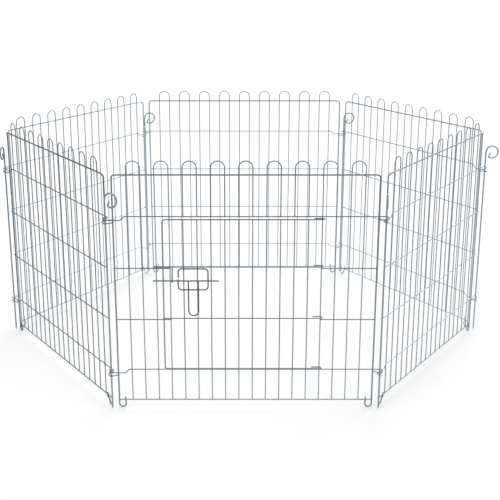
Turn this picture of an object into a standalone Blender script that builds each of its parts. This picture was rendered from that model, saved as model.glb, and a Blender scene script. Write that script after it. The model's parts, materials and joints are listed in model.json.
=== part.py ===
"""Small animal run of six wire panels, joined at their corners by lift-out pins.

The front panel has a wire door on open hinge loops, shut by a sliding bolt with a loop handle.
Lengths are in metres, +Z is up, and the origin is on the ground, at the middle of the run's box.
Each panel is drawn in its own frame: along it from left to right as seen from outside, out from
the plane of its frame, and up from the ground.
"""
import math

import bmesh
import bpy
from mathutils import Matrix, Vector

# Wire diameters
FRAME_WIRE = 0.0035
LEG_WIRE = 0.0025
CROSS_WIRE = 0.0025
BOTTOM_WIRE = 0.0030
PIN_WIRE = 0.0040
DOOR_WIRE = 0.0030
BAR_WIRE = 0.0025
LATCH_WIRE = 0.0030
KEEPER_WIRE = 0.0025

# Clearance between two wires that are welded together or rest on each other
TOUCH = 0.0003
# How far the door head's hoops are pressed into the wire that carries them
SET_DOWN = 0.0005

# Panel frame, between the centrelines of its side wires
PANEL_WIDTH = 0.572
FRAME_CORNER_RADIUS = 0.009

# Heights of the fields between the cross wires, from the ground up
RAIL_HEIGHT = 0.019
BOTTOM_FIELD = 0.075
LOWER_FIELD = 0.119
MIDDLE_FIELD = 0.1184
UPPER_FIELD = 0.1164
TOP_FIELD = 0.0912
HOOP_RISE = 0.015

# Upright legs, bent in pairs as hairpins
LEG_PAIRS = 9
EDGE_FIELD = 0.031

# Foot hooks at the lower ends of the frame
HOOK_WIDTH = 0.0147
HOOK_TIP_RISE = 0.0085
HOOK_STRAIGHT = 0.0020

# Hinge eyes at the panel's corners
PIN_REACH = 0.0153
PIN_CLEARANCE = 0.0004
EYE_LENGTHENING = 0.00225
EYE_SLOT = 0.0030
NEIGHBOUR_CLEARANCE = 0.0005
STEP_START = 0.0245
STEP_LENGTH = 0.0082
EYE_TAIL_START = 0.0020
WIRE_END_LAP = 0.0012
EYE_TAIL_LAP = 0.0025

# Corner pins
PIN_POINT_LENGTH = 0.006
PIN_POINT_DIAMETER = 0.0020
CURL_RADIUS = 0.0155
CURL_HEIGHT = 0.038
CURL_TURN = math.radians(290.0)
CURL_TIP_RADIUS = 0.0030
CURL_TIP_TURN = math.radians(93.0)
CURL_TAIL = 0.009

# Plan of the run: the inner angle at the four corners of the front and back panels
CORNER_ANGLE = math.radians(122.0)

# Door, counted in legs from the left
JAMB_LEG = 4
HINGE_LEG = 15
DOOR_LAP = 0.015
DOOR_CORNER_RADIUS = 0.008
DOOR_HEAD_DROP = 0.0058
DOOR_WIRE_LIFT = 0.0050
DOOR_WIRE_OVERHANG = 0.0020
HINGE_TAIL = 0.017
HINGE_LOOP_BULGE = 0.0038
STUB_OVERHANG = 0.0030
HEAD_OVERHANG = 0.0020
HEAD_LEAN_HEIGHT = 0.070

# Latch
GUIDE_TOP_DROP = 0.0040
GUIDE_HEIGHT = 0.048
GUIDE_START = 0.018
GUIDE_WIDTH = 0.065
GUIDE_CORNER_RADIUS = 0.008
GUIDE_TIP_LENGTH = 0.0200
GUIDE_HOOK_DROP = 0.0099
GUIDE_HOOK_START = math.radians(35.0)
GUIDE_HOOK_TURN = math.radians(135.0)
BOLT_DROP = 0.0265
BOLT_START = -0.037
BOLT_LENGTH = 0.144
HANDLE_START = 0.0403
HANDLE_WIDTH = 0.0216
HANDLE_LENGTH = 0.080
HANDLE_TOP_LAP = 0.0015
KEEPER_LENGTH = 0.0403
KEEPER_REACH = 0.0053
KEEPER_SLOPE = 0.016
KEEPER_TIP_RISE = 0.0010

# Smoothness of the wires, which are six-sided: a flat side faces down where a foot is turned by this
WIRE_ROUNDNESS = 1
FLAT_SIDE_TURN = math.pi / 6
HALF_TURN_STEPS = 5
FOOT_STEPS = 7
CORNER_STEPS = 3
CURL_STEPS = 10
HOOK_STEPS = 3
SHARP_ANGLE = math.radians(50.0)
CAP_WELD = 0.00001

# Levels of the wires' centrelines
BOTTOM_RAIL = RAIL_HEIGHT
WIRE_4 = BOTTOM_RAIL + BOTTOM_FIELD
WIRE_3 = WIRE_4 + LOWER_FIELD
WIRE_2 = WIRE_3 + MIDDLE_FIELD
WIRE_1 = WIRE_2 + UPPER_FIELD
TOP_RAIL = WIRE_1 + TOP_FIELD

# Places along the panel, from its middle
SIDE = PANEL_WIDTH / 2
LEG_COUNT = 2 * LEG_PAIRS
LEG_PITCH = (PANEL_WIDTH - 2 * EDGE_FIELD) / (LEG_COUNT - 1)
PIN_ALONG = SIDE + PIN_REACH
PIN_TO_PIN = 2 * PIN_ALONG

# Depths of the wires' centrelines, out from the plane of the frame's side wires
CROSS_DEPTH = (FRAME_WIRE + CROSS_WIRE) / 2 + TOUCH
LEG_DEPTH = CROSS_DEPTH - (CROSS_WIRE + LEG_WIRE) / 2 - TOUCH
TOP_DEPTH = LEG_DEPTH + (LEG_WIRE + FRAME_WIRE) / 2 + TOUCH
HOOK_DEPTH = LEG_DEPTH + (BOTTOM_WIRE + FRAME_WIRE) / 2 + TOUCH
EYE_RADIUS = (PIN_WIRE + CROSS_WIRE) / 2 + PIN_CLEARANCE
PIN_DEPTH = CROSS_DEPTH + EYE_RADIUS
DOOR_DEPTH = CROSS_DEPTH + (CROSS_WIRE + DOOR_WIRE) / 2 + TOUCH
DOOR_CROSS_DEPTH = DOOR_DEPTH + (max(DOOR_WIRE, BAR_WIRE) + CROSS_WIRE) / 2 + TOUCH
GUIDE_DEPTH = DOOR_DEPTH + (max(DOOR_WIRE, BAR_WIRE) + LATCH_WIRE) / 2 + TOUCH
BOLT_DEPTH = GUIDE_DEPTH + LATCH_WIRE + TOUCH
HEAD_DEPTH = CROSS_DEPTH - (CROSS_WIRE + LEG_WIRE) / 2 + SET_DOWN

# Hinge eyes: how far the wire comes back lower, and how far the left end steps down for its neighbour
EYE_DROP = CROSS_WIRE + EYE_SLOT
EYE_STEP = EYE_DROP + CROSS_WIRE + NEIGHBOUR_CLEARANCE

# Door and latch levels
DOOR_TOP = WIRE_1 - DOOR_HEAD_DROP
DOOR_BOTTOM = WIRE_4 + (CROSS_WIRE + DOOR_WIRE) / 2 + TOUCH
GUIDE_TOP = WIRE_2 + DOOR_WIRE_LIFT - GUIDE_TOP_DROP
GUIDE_BOTTOM = GUIDE_TOP - GUIDE_HEIGHT
BOLT_LEVEL = GUIDE_TOP - BOLT_DROP
HANDLE_DEPTH = LATCH_WIRE + TOUCH
HANDLE_REST_DEPTH = DOOR_CROSS_DEPTH + (CROSS_WIRE + LATCH_WIRE) / 2 + TOUCH
HANDLE_LEAN = math.asin((BOLT_DEPTH + HANDLE_DEPTH - HANDLE_REST_DEPTH) / HANDLE_LENGTH)

RUN = "small_animal_run"
# Size at which the empties on the axes are drawn
AXIS_MARK_SIZE = 0.03

# Plan angle that each pin's curl points to, from +X towards +Y
CURL_HEADINGS = {
    "front_left": -27.0,
    "front_right": -96.0,
    "right": 0.0,
    "back_right": 14.0,
    "back_left": 25.0,
    "left": -95.0,
}


def at(along, out, up):
    """Return the point of a panel at a place along it, a depth out from its frame and a level."""
    return Vector((along, -out, up))


def leg_along(number):
    """Return the place along the panel of a leg, counted from 1 at the left."""
    return -SIDE + EDGE_FIELD + LEG_PITCH * (number - 1)


def turned(centre, spoke, axis, angle, steps, rise=0.0):
    """Return points round the centre, starting at the spoke and climbing evenly along the axis."""
    points = []
    for step in range(steps + 1):
        share = step / steps
        spin = Matrix.Rotation(angle * share, 3, axis)
        points.append(centre + spin @ spoke + axis * (rise * share))
    return points


def rounded(corners, radius, steps):
    """Return the route through the corners, each one but the ends rounded to the radius."""
    route = [corners[0]]
    for before, corner, after in zip(corners, corners[1:], corners[2:]):
        arriving = (corner - before).normalized()
        leaving = (after - corner).normalized()
        angle = arriving.angle(leaving)
        axis = arriving.cross(leaving).normalized()
        inward = axis.cross(arriving)
        start = corner - arriving * (radius * math.tan(angle / 2))
        route += turned(start + inward * radius, -inward * radius, axis, angle, steps)
    route.append(corners[-1])
    return route


def wire(name, route, diameter, radii=None, tilt=0.0):
    """Make a round wire along the route, as a curve with filled ends.

    The radii, one for each point, taper it as shares of its own, and the tilt turns its facets.
    """
    curve = bpy.data.curves.new(name, "CURVE")
    curve.dimensions = "3D"
    curve.bevel_depth = diameter / 2
    curve.bevel_resolution = WIRE_ROUNDNESS
    curve.use_fill_caps = True
    spline = curve.splines.new("POLY")
    spline.points.add(len(route) - 1)
    for index, point in enumerate(route):
        spline.points[index].co = (*point, 1.0)
        spline.points[index].tilt = tilt
        if radii:
            spline.points[index].radius = radii[index]
    spline.use_smooth = True
    return curve


def mesh_of(curves, name):
    """Return one mesh of the curves' tubes, with their end caps welded on, and drop the curves."""
    joined = bmesh.new()
    for curve in curves:
        holder = bpy.data.objects.new(name, curve)
        bpy.context.scene.collection.objects.link(holder)
        evaluated = holder.evaluated_get(bpy.context.evaluated_depsgraph_get())
        tube = bpy.data.meshes.new_from_object(evaluated)
        joined.from_mesh(tube)
        bpy.data.meshes.remove(tube)
        bpy.data.objects.remove(holder)
        bpy.data.curves.remove(curve)
    bmesh.ops.remove_doubles(joined, verts=joined.verts, dist=CAP_WELD)
    mesh = bpy.data.meshes.new(name)
    joined.to_mesh(mesh)
    joined.free()
    return mesh


def welded(name, carrier, branches):
    """Return one mesh of a carrier wire with the branch wires welded into it."""
    scene_objects = bpy.context.scene.collection.objects
    base = bpy.data.objects.new(name, mesh_of([carrier], name))
    added = bpy.data.objects.new(name + "_branches", mesh_of(branches, name + "_branches"))
    scene_objects.link(base)
    scene_objects.link(added)
    union = base.modifiers.new("weld", "BOOLEAN")
    union.operation = "UNION"
    union.object = added
    evaluated = base.evaluated_get(bpy.context.evaluated_depsgraph_get())
    mesh = bpy.data.meshes.new_from_object(evaluated)
    mesh.name = name
    for spare in (base, added):
        old = spare.data
        bpy.data.objects.remove(spare)
        bpy.data.meshes.remove(old)
    mesh.shade_smooth()
    mesh.set_sharp_from_angle(angle=SHARP_ANGLE)
    return mesh


def zinc(name, grey, roughness):
    """Make a galvanised wire material: a grey metal with a faint blue cast."""
    material = bpy.data.materials.new(name)
    material.use_nodes = True
    shader = material.node_tree.nodes["Principled BSDF"]
    shader.inputs["Base Color"].default_value = (grey, grey * 1.03, grey * 1.06, 1.0)
    shader.inputs["Metallic"].default_value = 1.0
    shader.inputs["Roughness"].default_value = roughness
    return material


def frame_route():
    """The frame: an upside-down U whose ends are bent inward and up again as foot hooks."""
    foot_radius = HOOK_WIDTH / 2
    half_step = math.pi / (2 * FOOT_STEPS)
    facet_depth = FRAME_WIRE / 2 * math.cos(FLAT_SIDE_TURN)
    foot_centre = (facet_depth + foot_radius) * math.cos(half_step)
    bend_end = BOTTOM_RAIL - BOTTOM_WIRE / 2
    half = [
        at(-SIDE + HOOK_WIDTH, HOOK_DEPTH, BOTTOM_RAIL + HOOK_TIP_RISE),
        at(-SIDE + HOOK_WIDTH, HOOK_DEPTH, bend_end),
        at(-SIDE + HOOK_WIDTH, 0, foot_centre + HOOK_STRAIGHT),
        at(-SIDE + HOOK_WIDTH, 0, foot_centre + HOOK_STRAIGHT / 2),
    ]
    centre = at(-SIDE + foot_radius, 0, foot_centre)
    half += turned(centre, Vector((foot_radius, 0, 0)), Vector((0, 1, 0)), math.pi, FOOT_STEPS)
    corner_centre = at(-SIDE + FRAME_CORNER_RADIUS, 0, TOP_RAIL - FRAME_CORNER_RADIUS)
    spoke = Vector((-FRAME_CORNER_RADIUS, 0, 0))
    corner = turned(corner_centre, spoke, Vector((0, 1, 0)), math.pi / 2, CORNER_STEPS + 1)
    for step, point in enumerate(corner):
        half.append(point + at(0, TOP_DEPTH * step / (CORNER_STEPS + 1), 0))
    mirror = Matrix.Scale(-1, 3, Vector((1, 0, 0)))
    return half + [mirror @ point for point in reversed(half)]


def hairpin_route(number, foot, foot_depth=LEG_DEPTH, lean_top=None):
    """A pair of legs joined by a hoop, from the foot level up over the hoop and down again."""
    left = leg_along(number)
    right = leg_along(number + 1)
    radius = (right - left) / 2
    spring = TOP_RAIL + HOOP_RISE
    centre = at((left + right) / 2, LEG_DEPTH, spring)
    hoop = turned(centre, Vector((-radius, 0, 0)), Vector((0, 1, 0)), math.pi, HALF_TURN_STEPS)
    up = [at(left, foot_depth, foot)]
    down = [at(right, foot_depth, foot)]
    if lean_top is not None:
        up.append(at(left, LEG_DEPTH, lean_top))
        down.insert(0, at(right, LEG_DEPTH, lean_top))
    return up + hoop + down


def corner_eye(side, level):
    """A hinge eye: round behind and beyond the pin, back in front of it and onto the side wire."""
    turn = at(side * (PIN_ALONG + EYE_LENGTHENING), PIN_DEPTH, level)
    spoke = at(0, -EYE_RADIUS, 0)
    route = turned(turn, spoke, Vector((0, 0, 1)), -side * math.pi, HALF_TURN_STEPS, -EYE_DROP)
    low = level - EYE_DROP
    outer = PIN_DEPTH + EYE_RADIUS
    route.append(at(side * (PIN_ALONG - EYE_TAIL_START), outer, low))
    route.append(at(side * (SIDE + EYE_TAIL_LAP), CROSS_DEPTH, low))
    route.append(at(side * (SIDE - EYE_TAIL_LAP), CROSS_DEPTH, low))
    return route


def hinge_wire_route(level):
    """A cross wire with an eye at each end: the left one steps down to pass its neighbour's."""
    left = corner_eye(-1, level - EYE_STEP)
    left.reverse()
    step_high = at(-SIDE + STEP_START, CROSS_DEPTH, level)
    step_low = at(-SIDE + STEP_START - STEP_LENGTH, CROSS_DEPTH, level - EYE_STEP)
    middle = at(0, CROSS_DEPTH, level)
    step = rounded([left[-1], step_low, step_high, middle], EYE_STEP / 2, 1)
    return left + step[1:-1] + corner_eye(1, level)


def straight_wire_route(start, end, level):
    """A plain cross wire between two places along the panel."""
    return [at(start, CROSS_DEPTH, level), at(end, CROSS_DEPTH, level)]


def pin_curve(name):
    """A corner pin: a pointed rod, bent at the top into a curl whose tail turns in to its middle."""
    curl_level = WIRE_1 + CURL_HEIGHT
    centre = Vector((CURL_RADIUS, 0, curl_level))
    axis = Vector((0, 1, 0))
    curl = turned(centre, Vector((-CURL_RADIUS, 0, 0)), axis, CURL_TURN, CURL_STEPS)
    inward = (centre - curl[-1]).normalized() * CURL_TIP_RADIUS
    tip_centre = curl[-1] + inward
    tip = turned(tip_centre, -inward, axis, CURL_TIP_TURN, HOOK_STEPS)
    tail = axis.cross(tip[-1] - tip_centre).normalized() * CURL_TAIL
    tip.append(tip[-1] + tail)
    route = [Vector((0, 0, 0)), Vector((0, 0, PIN_POINT_LENGTH))] + curl + tip[1:]
    radii = [PIN_POINT_DIAMETER / PIN_WIRE] + [1.0] * (len(route) - 1)
    return wire(name, route, PIN_WIRE, radii)


def hinge_loop(level, depth, diameter, bulge):
    """A door wire's open loop round the hinge leg, from the door's depth to its tail inside."""
    inner = LEG_DEPTH - (LEG_WIRE + diameter) / 2 - TOUCH
    half = (depth - inner) / 2
    axis_along = leg_along(HINGE_LEG)
    points = []
    for step in range(HALF_TURN_STEPS + 1):
        angle = math.pi * step / HALF_TURN_STEPS
        points.append(at(axis_along + bulge * math.sin(angle), inner + half * (1 + math.cos(angle)), level))
    points.append(at(axis_along - HINGE_TAIL, inner, level))
    return points


def door_frame_route():
    """The door's frame: one wire from the upper hinge loop round the free side to the lower one."""
    free_side = leg_along(JAMB_LEG) - DOOR_LAP
    inner = LEG_DEPTH - (LEG_WIRE + DOOR_WIRE) / 2 - TOUCH
    bulge = (DOOR_DEPTH - inner) / 2
    upper = hinge_loop(DOOR_TOP, DOOR_DEPTH, DOOR_WIRE, bulge)
    upper.reverse()
    corners = [
        upper[-1],
        at(free_side, DOOR_DEPTH, DOOR_TOP),
        at(free_side, DOOR_DEPTH, DOOR_BOTTOM),
        at(leg_along(HINGE_LEG), DOOR_DEPTH, DOOR_BOTTOM),
    ]
    side = rounded(corners, DOOR_CORNER_RADIUS, CORNER_STEPS)
    return upper + side[1:-1] + hinge_loop(DOOR_BOTTOM, DOOR_DEPTH, DOOR_WIRE, bulge)


def door_cross_route(level):
    """A cross wire of the door, over its bars, with its own hinge loop."""
    start = at(leg_along(JAMB_LEG) - DOOR_LAP - DOOR_WIRE_OVERHANG, DOOR_CROSS_DEPTH, level)
    return [start] + hinge_loop(level, DOOR_CROSS_DEPTH, CROSS_WIRE, HINGE_LOOP_BULGE)


def guide_route():
    """The bolt's guide: a loop of wire whose right leg backs the bolt and whose end hooks over it."""
    left = leg_along(JAMB_LEG) + GUIDE_START
    right = left + GUIDE_WIDTH
    loop = rounded([
        at(left, GUIDE_DEPTH, GUIDE_TOP - GUIDE_TIP_LENGTH),
        at(left, GUIDE_DEPTH, GUIDE_TOP),
        at(right, GUIDE_DEPTH, GUIDE_TOP),
        at(right, GUIDE_DEPTH, GUIDE_BOTTOM),
        at(left, GUIDE_DEPTH, GUIDE_BOTTOM),
        at(left, GUIDE_DEPTH, BOLT_LEVEL - GUIDE_HOOK_DROP),
    ], GUIDE_CORNER_RADIUS, CORNER_STEPS)
    axis = Vector((1, 0, 0))
    round_bolt = (LATCH_WIRE + TOUCH) / math.cos(GUIDE_HOOK_TURN / (2 * HOOK_STEPS))
    spoke = Matrix.Rotation(GUIDE_HOOK_START, 3, axis) @ at(0, round_bolt, 0)
    hook = turned(at(left, BOLT_DEPTH, BOLT_LEVEL), spoke, axis, -GUIDE_HOOK_TURN, HOOK_STEPS)
    return loop + hook


def keeper_route():
    """The bolt's keeper: along the jamb's legs, out over the bolt and under it in a small hook."""
    level = WIRE_2 + (CROSS_WIRE + KEEPER_WIRE) / 2 + TOUCH
    along = leg_along(JAMB_LEG) + KEEPER_REACH
    round_bolt = (LATCH_WIRE + KEEPER_WIRE) / 2 + TOUCH
    front = BOLT_DEPTH + round_bolt
    arm = rounded([
        at(along - KEEPER_LENGTH, CROSS_DEPTH, level),
        at(along, CROSS_DEPTH, level),
        at(along, front, level - KEEPER_SLOPE),
        at(along, front, BOLT_LEVEL),
    ], KEEPER_WIRE, 2)
    hook = turned(at(along, BOLT_DEPTH, BOLT_LEVEL), at(0, round_bolt, 0), Vector((1, 0, 0)),
                  math.pi, HALF_TURN_STEPS)
    tip = hook[-1] + at(0, 0, KEEPER_TIP_RISE)
    return arm[:-1] + hook + [tip]


def handle_route():
    """The bolt's handle: a hanging U, drawn straight below the bolt's axis and in front of it."""
    radius = HANDLE_WIDTH / 2
    centre = at(radius, HANDLE_DEPTH, radius - HANDLE_LENGTH)
    bottom = turned(centre, Vector((-radius, 0, 0)), Vector((0, -1, 0)), math.pi, HALF_TURN_STEPS + 1)
    left_end = at(0, HANDLE_DEPTH, HANDLE_TOP_LAP)
    right_end = at(HANDLE_WIDTH, HANDLE_DEPTH, HANDLE_TOP_LAP)
    return [left_end] + bottom + [right_end]


class Body:
    """A rigid group of pieces: an empty on the axis that it turns on, and the way to its own frame."""

    def __init__(self, name, location, turn, shift, parent=None):
        self.empty = bpy.data.objects.new(name, None)
        self.empty.empty_display_size = AXIS_MARK_SIZE
        self.empty.location = location
        self.empty.rotation_euler = (0, 0, turn)
        self.empty.parent = parent or ORIGIN
        self.turn = turn
        self.shift = shift
        PARTS.objects.link(self.empty)

    def add(self, name, data, material, place=(0, 0, 0), rotation=(0, 0, 0)):
        """Add a piece, at a place in the body's own frame."""
        piece = bpy.data.objects.new(name, data)
        piece.parent = self.empty
        piece.location = self.shift + Vector(place)
        piece.rotation_euler = rotation
        if not data.materials:
            data.materials.append(material)
        PARTS.objects.link(piece)
        return piece


def pin_places():
    """Return the plan positions of the six corner pins, with the run standing as a hexagon."""
    half = PIN_TO_PIN / 2
    depth = PIN_TO_PIN * math.sin(CORNER_ANGLE)
    reach = half - PIN_TO_PIN * math.cos(CORNER_ANGLE)
    return {
        "front_left": Vector((-half, -depth, 0)),
        "front_right": Vector((half, -depth, 0)),
        "right": Vector((reach, 0, 0)),
        "back_right": Vector((half, depth, 0)),
        "back_left": Vector((-half, depth, 0)),
        "left": Vector((-reach, 0, 0)),
    }


def panel_body(name, left_pin, right_pin, hinge_pin):
    """Return a panel's body, hung on one of its two pins, or on its own middle if hinge_pin is None."""
    pins = pin_places()
    direction = pins[right_pin] - pins[left_pin]
    turn = math.atan2(direction.y, direction.x)
    middle = (pins[left_pin] + pins[right_pin]) / 2
    inward = Matrix.Rotation(turn, 3, "Z") @ Vector((0, PIN_DEPTH, 0))
    if hinge_pin is None:
        return Body(name + "_body", middle + inward, turn, Vector((0, 0, 0)))
    side = 1 if hinge_pin == left_pin else -1
    return Body(name + "_body", pins[hinge_pin], turn, Vector((side * PIN_ALONG, PIN_DEPTH, 0)))


def bottom_rail():
    """The rail along the feet, between the frame's side wires."""
    reach = SIDE - FRAME_WIRE / 2 - TOUCH
    ends = [at(-reach, LEG_DEPTH, BOTTOM_RAIL), at(reach, LEG_DEPTH, BOTTOM_RAIL)]
    return wire("bottom_rail", ends, BOTTOM_WIRE)


def plain_infill():
    """The upright legs of a plain panel, welded to its bottom rail."""
    pairs = []
    for number in range(1, LEG_COUNT, 2):
        pairs.append(wire("pair", hairpin_route(number, BOTTOM_RAIL), LEG_WIRE))
    return welded("panel_infill", bottom_rail(), pairs)


def door_panel_infill():
    """The legs beside the doorway and the short stubs below it, welded to the bottom rail."""
    branches = []
    for number in range(1, LEG_COUNT, 2):
        if number < JAMB_LEG or number >= HINGE_LEG:
            branches.append(wire("pair", hairpin_route(number, BOTTOM_RAIL), LEG_WIRE))
    for number in range(JAMB_LEG + 1, HINGE_LEG):
        foot = at(leg_along(number), LEG_DEPTH, BOTTOM_RAIL)
        head = at(leg_along(number), LEG_DEPTH, WIRE_4 + STUB_OVERHANG)
        branches.append(wire("stub", [foot, head], LEG_WIRE))
    return welded("front_infill", bottom_rail(), branches)


def door_head_wire():
    """The front panel's upper hinge wire, with the hoops over the door pressed and welded onto it."""
    hoops = []
    for number in range(JAMB_LEG + 1, HINGE_LEG, 2):
        foot = WIRE_1 - HEAD_OVERHANG
        route = hairpin_route(number, foot, HEAD_DEPTH, WIRE_1 + HEAD_LEAN_HEIGHT)
        hoops.append(wire("hoop", route, LEG_WIRE))
    return welded("front_upper_hinge_wire", wire("wire", hinge_wire_route(WIRE_1), CROSS_WIRE), hoops)


def door_grille():
    """The door's frame wire with its upright bars welded between its top and bottom."""
    bars = []
    for number in range(JAMB_LEG + 1, HINGE_LEG):
        along = leg_along(number)
        ends = [at(along, DOOR_DEPTH, DOOR_BOTTOM), at(along, DOOR_DEPTH, DOOR_TOP)]
        bars.append(wire("bar", ends, BAR_WIRE))
    return welded("door_grille", wire("frame", door_frame_route(), DOOR_WIRE), bars)


def add_plain_panel(body, name, shapes, materials):
    """Add the six pieces of a panel without a door."""
    body.add(name + "_frame", shapes["frame"], materials["frame"])
    body.add(name + "_infill", shapes["infill"], materials["infill"])
    body.add(name + "_upper_hinge_wire", shapes["upper_hinge_wire"], materials["cross"])
    body.add(name + "_upper_wire", shapes["upper_wire"], materials["cross"])
    body.add(name + "_lower_wire", shapes["lower_wire"], materials["cross"])
    body.add(name + "_lower_hinge_wire", shapes["lower_hinge_wire"], materials["cross"])


def add_front_panel(body, shapes, materials):
    """Add the pieces of the door panel that stay with it when the door opens."""
    jamb_end = leg_along(JAMB_LEG) + WIRE_END_LAP
    hinge_start = leg_along(HINGE_LEG) - WIRE_END_LAP
    side_end = SIDE + WIRE_END_LAP
    cross = materials["cross"]
    body.add("front_frame", shapes["frame"], materials["frame"])
    body.add("front_infill", door_panel_infill(), materials["infill"])
    body.add("front_upper_hinge_wire", door_head_wire(), cross)
    body.add("front_lower_hinge_wire", shapes["lower_hinge_wire"], cross)
    for level_name, level in (("upper", WIRE_2), ("lower", WIRE_3)):
        left = wire("left_stub", straight_wire_route(-side_end, jamb_end, level), CROSS_WIRE)
        right = wire("right_stub", straight_wire_route(hinge_start, side_end, level), CROSS_WIRE)
        body.add("front_" + level_name + "_wire_left", left, cross)
        body.add("front_" + level_name + "_wire_right", right, cross)
    body.add("bolt_keeper", wire("keeper", keeper_route(), KEEPER_WIRE), materials["latch"])


def add_door(front, materials):
    """Add the door on the hinge leg's axis, its bolt and the bolt's handle."""
    axis = at(leg_along(HINGE_LEG), LEG_DEPTH, 0)
    door = Body("door_body", axis, 0, -axis, front.empty)
    door.add("door_grille", door_grille(), materials["door"])
    for name, level in (("door_upper_wire", WIRE_2), ("door_lower_wire", WIRE_3)):
        door.add(name, wire(name, door_cross_route(level + DOOR_WIRE_LIFT), CROSS_WIRE), materials["cross"])
    door.add("bolt_guide", wire("guide", guide_route(), LATCH_WIRE), materials["latch"])
    bolt_start = leg_along(JAMB_LEG) + BOLT_START
    rod = wire("bolt", [Vector((0, 0, 0)), Vector((BOLT_LENGTH, 0, 0))], LATCH_WIRE)
    bolt = door.add("bolt_rod", rod, materials["latch"], at(bolt_start, BOLT_DEPTH, BOLT_LEVEL))
    handle_data = wire("handle", handle_route(), LATCH_WIRE)
    handle_data.materials.append(materials["latch"])
    handle = bpy.data.objects.new("bolt_handle", handle_data)
    handle.parent = bolt
    handle.location = (HANDLE_START - BOLT_START, 0, 0)
    handle.rotation_euler = (HANDLE_LEAN, 0, 0)
    PARTS.objects.link(handle)


def add_pin(body, corner, side, shape, material):
    """Add a corner pin to the panel that keeps it, at that panel's left (-1) or right (1) end."""
    heading = math.radians(CURL_HEADINGS[corner]) - body.turn
    body.add(corner + "_pin", shape, material, at(side * PIN_ALONG, PIN_DEPTH, 0), (0, 0, heading))


def centre_on_origin():
    """Move the run so that the middle of its box is over the origin."""
    bpy.context.view_layer.update()
    graph = bpy.context.evaluated_depsgraph_get()
    points = []
    for piece in PARTS.objects:
        if piece.type != "EMPTY":
            evaluated = piece.evaluated_get(graph)
            mesh = evaluated.to_mesh()
            points += [piece.matrix_world @ vertex.co for vertex in mesh.vertices]
            evaluated.to_mesh_clear()
    for axis in (0, 1):
        places = [point[axis] for point in points]
        ORIGIN.location[axis] = -(min(places) + max(places)) / 2


def build():
    """Build the whole run."""
    materials = {
        "frame": zinc("frame_zinc", 0.42, 0.42),
        "infill": zinc("infill_zinc", 0.46, 0.40),
        "cross": zinc("cross_wire_zinc", 0.44, 0.40),
        "pin": zinc("pin_zinc", 0.40, 0.38),
        "door": zinc("door_zinc", 0.40, 0.42),
        "latch": zinc("latch_zinc", 0.36, 0.44),
    }
    whole = straight_wire_route(-SIDE - WIRE_END_LAP, SIDE + WIRE_END_LAP, WIRE_2)
    low = straight_wire_route(-SIDE - WIRE_END_LAP, SIDE + WIRE_END_LAP, WIRE_3)
    shapes = {
        "frame": wire("panel_frame", frame_route(), FRAME_WIRE, tilt=FLAT_SIDE_TURN),
        "infill": plain_infill(),
        "upper_hinge_wire": wire("upper_hinge_wire", hinge_wire_route(WIRE_1), CROSS_WIRE),
        "upper_wire": wire("upper_wire", whole, CROSS_WIRE),
        "lower_wire": wire("lower_wire", low, CROSS_WIRE),
        "lower_hinge_wire": wire("lower_hinge_wire", hinge_wire_route(WIRE_4), CROSS_WIRE),
    }
    front = panel_body("front", "front_left", "front_right", None)
    right_front = panel_body("right_front", "front_right", "right", "front_right")
    right_back = panel_body("right_back", "right", "back_right", "right")
    left_front = panel_body("left_front", "left", "front_left", "front_left")
    left_back = panel_body("left_back", "back_left", "left", "left")
    back = panel_body("back", "back_right", "back_left", "back_left")
    add_front_panel(front, shapes, materials)
    add_plain_panel(left_front, "left_front", shapes, materials)
    add_plain_panel(left_back, "left_back", shapes, materials)
    add_plain_panel(back, "back", shapes, materials)
    add_plain_panel(right_back, "right_back", shapes, materials)
    add_plain_panel(right_front, "right_front", shapes, materials)
    pin = pin_curve("corner_pin")
    add_pin(front, "front_left", -1, pin, materials["pin"])
    add_pin(front, "front_right", 1, pin, materials["pin"])
    add_pin(left_front, "left", -1, pin, materials["pin"])
    add_pin(left_back, "back_left", -1, pin, materials["pin"])
    add_pin(right_back, "back_right", 1, pin, materials["pin"])
    add_pin(right_front, "right", 1, pin, materials["pin"])
    add_door(front, materials)


for leftover in list(bpy.data.objects):
    bpy.data.objects.remove(leftover)
PARTS = bpy.data.collections.new(RUN)
bpy.context.scene.collection.children.link(PARTS)
ORIGIN = bpy.data.objects.new("run_origin", None)
PARTS.objects.link(ORIGIN)
build()
centre_on_origin()
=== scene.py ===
"""Looks of the small animal run: round galvanised wires with their welds, cut ends and bends.

Lengths are in metres. Each panel's wires are drawn in the panel's own frame, along it from left to
right as seen from outside, out from the plane of its frame and up from the ground, and are set in
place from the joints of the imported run.
"""
import json
import math

import bpy
from mathutils import Matrix, Vector, kdtree, noise


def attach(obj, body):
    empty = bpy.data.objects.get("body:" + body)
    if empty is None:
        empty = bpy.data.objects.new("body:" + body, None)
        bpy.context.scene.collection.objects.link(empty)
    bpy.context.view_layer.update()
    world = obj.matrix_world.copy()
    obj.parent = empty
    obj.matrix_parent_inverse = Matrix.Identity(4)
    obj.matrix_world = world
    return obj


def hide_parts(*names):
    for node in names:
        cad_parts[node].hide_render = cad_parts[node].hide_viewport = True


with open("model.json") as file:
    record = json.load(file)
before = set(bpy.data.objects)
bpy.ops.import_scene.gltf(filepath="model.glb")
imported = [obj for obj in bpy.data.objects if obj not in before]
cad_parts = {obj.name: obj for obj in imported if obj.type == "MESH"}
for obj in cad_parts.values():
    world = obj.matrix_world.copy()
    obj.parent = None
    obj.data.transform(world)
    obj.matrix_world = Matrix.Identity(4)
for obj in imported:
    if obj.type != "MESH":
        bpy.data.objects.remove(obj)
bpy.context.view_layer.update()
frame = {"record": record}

# Photograph: its width in pixels, and the camera that took it
PHOTO_WIDTH = 500
FOCAL_PIXELS = 1083.61
OPTICAL_CENTRE = (240.87, 290.0)
SENSOR_WIDTH = 36.0
CAMERA_FROM_FRONT = (-0.01052, -2.25316, 1.04079)
CAMERA_PITCH = math.radians(18.64)

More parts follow.
